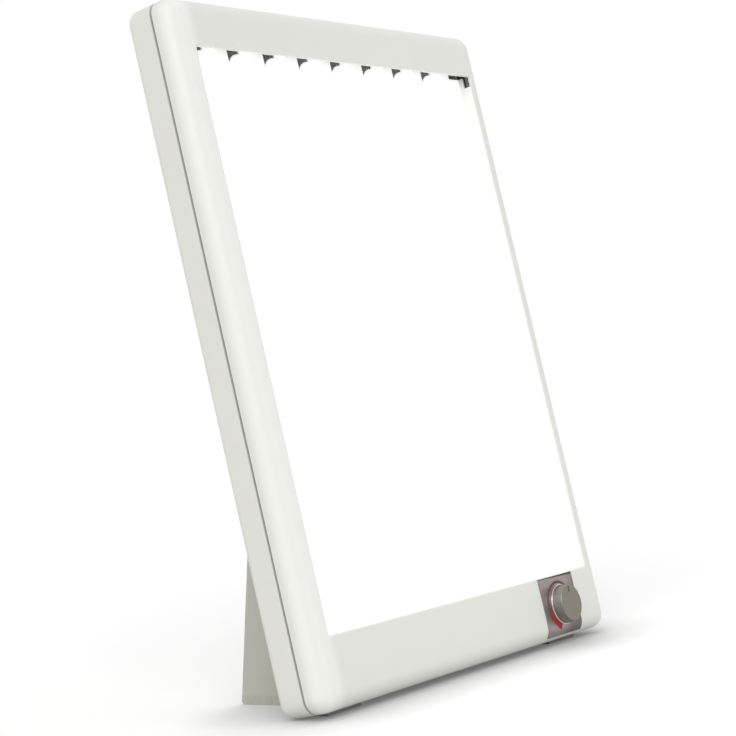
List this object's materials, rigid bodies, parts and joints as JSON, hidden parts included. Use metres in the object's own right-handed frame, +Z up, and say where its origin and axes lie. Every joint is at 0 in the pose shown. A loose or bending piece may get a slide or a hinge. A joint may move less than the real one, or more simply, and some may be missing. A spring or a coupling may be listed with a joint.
{
  "type": "x-ray film viewer",
  "caption": "Slim white light panel for reading x-ray films, leaning back on folding fins, with film grips along the top and a dimmer knob on the lower bezel.",
  "frame": {"origin": "centre of the bounding box, at the floor", "axes": "+X to the viewer's right, +Y away from the viewer, +Z up; the panel's normal points to -Y and up"},
  "size_m": [0.394, 0.1362, 0.5204],
  "materials": {
    "bezel_enamel": "smooth satin white, moulded",
    "shell_plastic": "fine matt warm white, moulded",
    "opal_acrylic": "opal acrylic sheet, lit from behind",
    "tray_white": "gloss white reflector paint",
    "lamp_glass": "frosted phosphor-coated tube",
    "ivory_plastic": "moulded ivory",
    "zinc_sheet": "zinc-coated sheet",
    "black_plastic": "moulded black",
    "brass_pin": "drawn",
    "zinc_screw": "zinc-plated",
    "steel_rod": "drawn bright",
    "plate_metal": "fine brushed, faintly pink",
    "knob_grey": "satin grey, turned",
    "rail_steel": "dark grey paint",
    "grip_white": "smooth white",
    "fin_grey": "satin warm grey",
    "strip_rubber": "matt grey rubber",
    "foot_rubber": "matt dark rubber"
  },
  "bodies": {
    "casing": {"front_bezel": "bezel_enamel", "rear_shell": "shell_plastic", "diffuser_screen": "opal_acrylic", "reflector_tray": "tray_white", "lamp_tube_1": "lamp_glass", "lamp_tube_2": "lamp_glass", "lamp_tube_3": "lamp_glass", "lamp_base_1": "ivory_plastic", "lamp_base_2": "ivory_plastic", "lamp_base_3": "ivory_plastic", "lamp_holder_1": "ivory_plastic", "lamp_holder_2": "ivory_plastic", "lamp_holder_3": "ivory_plastic", "lamp_cradle_1": "ivory_plastic", "lamp_cradle_2": "ivory_plastic", "lamp_cradle_3": "ivory_plastic", "ballast": "zinc_sheet", "terminal_block": "ivory_plastic", "power_inlet": "black_plastic", "inlet_pins": "brass_pin", "inlet_screws": "zinc_screw", "control_plate": "plate_metal", "dimmer_body": "black_plastic", "dimmer_nut": "zinc_screw", "grip_rail": "rail_steel", "grip_rod": "steel_rod", "grip_springs": "steel_rod", "fin_pin_left": "steel_rod", "fin_pin_right": "steel_rod", "base_foot_left": "foot_rubber", "base_foot_right": "foot_rubber", "case_screws": "zinc_screw", "tray_screws": "zinc_screw", "rail_screws": "zinc_screw"},
    "knob": {"control_knob": "knob_grey", "dimmer_shaft": "steel_rod"},
    "fin_left": {"stand_fin_left": "fin_grey", "fin_strip_left": "strip_rubber"},
    "fin_right": {"stand_fin_right": "fin_grey", "fin_strip_right": "strip_rubber"},
    "grip_1": {"film_grip_1": "grip_white"},
    "grip_2": {"film_grip_2": "grip_white"},
    "grip_3": {"film_grip_3": "grip_white"},
    "grip_4": {"film_grip_4": "grip_white"},
    "grip_5": {"film_grip_5": "grip_white"},
    "grip_6": {"film_grip_6": "grip_white"},
    "grip_7": {"film_grip_7": "grip_white"},
    "grip_8": {"film_grip_8": "grip_white"}
  },
  "joints": [
    {"name": "knob_turn", "type": "hinge", "parent": "casing", "child": "knob", "pos_m": [0.128, -0.05462, 0.03324], "axis": [0, -0.9877, 0.1564], "range_deg": [-135, 135]},
    {"name": "fin_left_fold", "type": "hinge", "parent": "casing", "child": "fin_left", "pos_m": [-0.136, -0.01963, 0.00036], "axis": [0, -0.1564, -0.9877], "range_deg": [0, 90]},
    {"name": "fin_right_fold", "type": "hinge", "parent": "casing", "child": "fin_right", "pos_m": [0.136, -0.01963, 0.00036], "axis": [0, 0.1564, 0.9877], "range_deg": [0, 90]},
    {"name": "grip_1_lift", "type": "hinge", "parent": "casing", "child": "grip_1", "pos_m": [0, 0.02452, 0.49454], "axis": [-1, 0, 0], "range_deg": [0, 10], "stiffness_Nm_per_rad": 0.05, "springref_deg": -5.73},
    {"name": "grip_2_lift", "type": "hinge", "parent": "casing", "child": "grip_2", "pos_m": [0, 0.02452, 0.49454], "axis": [-1, 0, 0], "range_deg": [0, 10], "stiffness_Nm_per_rad": 0.05, "springref_deg": -5.73},
    {"name": "grip_3_lift", "type": "hinge", "parent": "casing", "child": "grip_3", "pos_m": [0, 0.02452, 0.49454], "axis": [-1, 0, 0], "range_deg": [0, 10], "stiffness_Nm_per_rad": 0.05, "springref_deg": -5.73},
    {"name": "grip_4_lift", "type": "hinge", "parent": "casing", "child": "grip_4", "pos_m": [0, 0.02452, 0.49454], "axis": [-1, 0, 0], "range_deg": [0, 10], "stiffness_Nm_per_rad": 0.05, "springref_deg": -5.73},
    {"name": "grip_5_lift", "type": "hinge", "parent": "casing", "child": "grip_5", "pos_m": [0, 0.02452, 0.49454], "axis": [-1, 0, 0], "range_deg": [0, 10], "stiffness_Nm_per_rad": 0.05, "springref_deg": -5.73},
    {"name": "grip_6_lift", "type": "hinge", "parent": "casing", "child": "grip_6", "pos_m": [0, 0.02452, 0.49454], "axis": [-1, 0, 0], "range_deg": [0, 10], "stiffness_Nm_per_rad": 0.05, "springref_deg": -5.73},
    {"name": "grip_7_lift", "type": "hinge", "parent": "casing", "child": "grip_7", "pos_m": [0, 0.02452, 0.49454], "axis": [-1, 0, 0], "range_deg": [0, 10], "stiffness_Nm_per_rad": 0.05, "springref_deg": -5.73},
    {"name": "grip_8_lift", "type": "hinge", "parent": "casing", "child": "grip_8", "pos_m": [0, 0.02452, 0.49454], "axis": [-1, 0, 0], "range_deg": [0, 10], "stiffness_Nm_per_rad": 0.05, "springref_deg": -5.73}
  ]
}
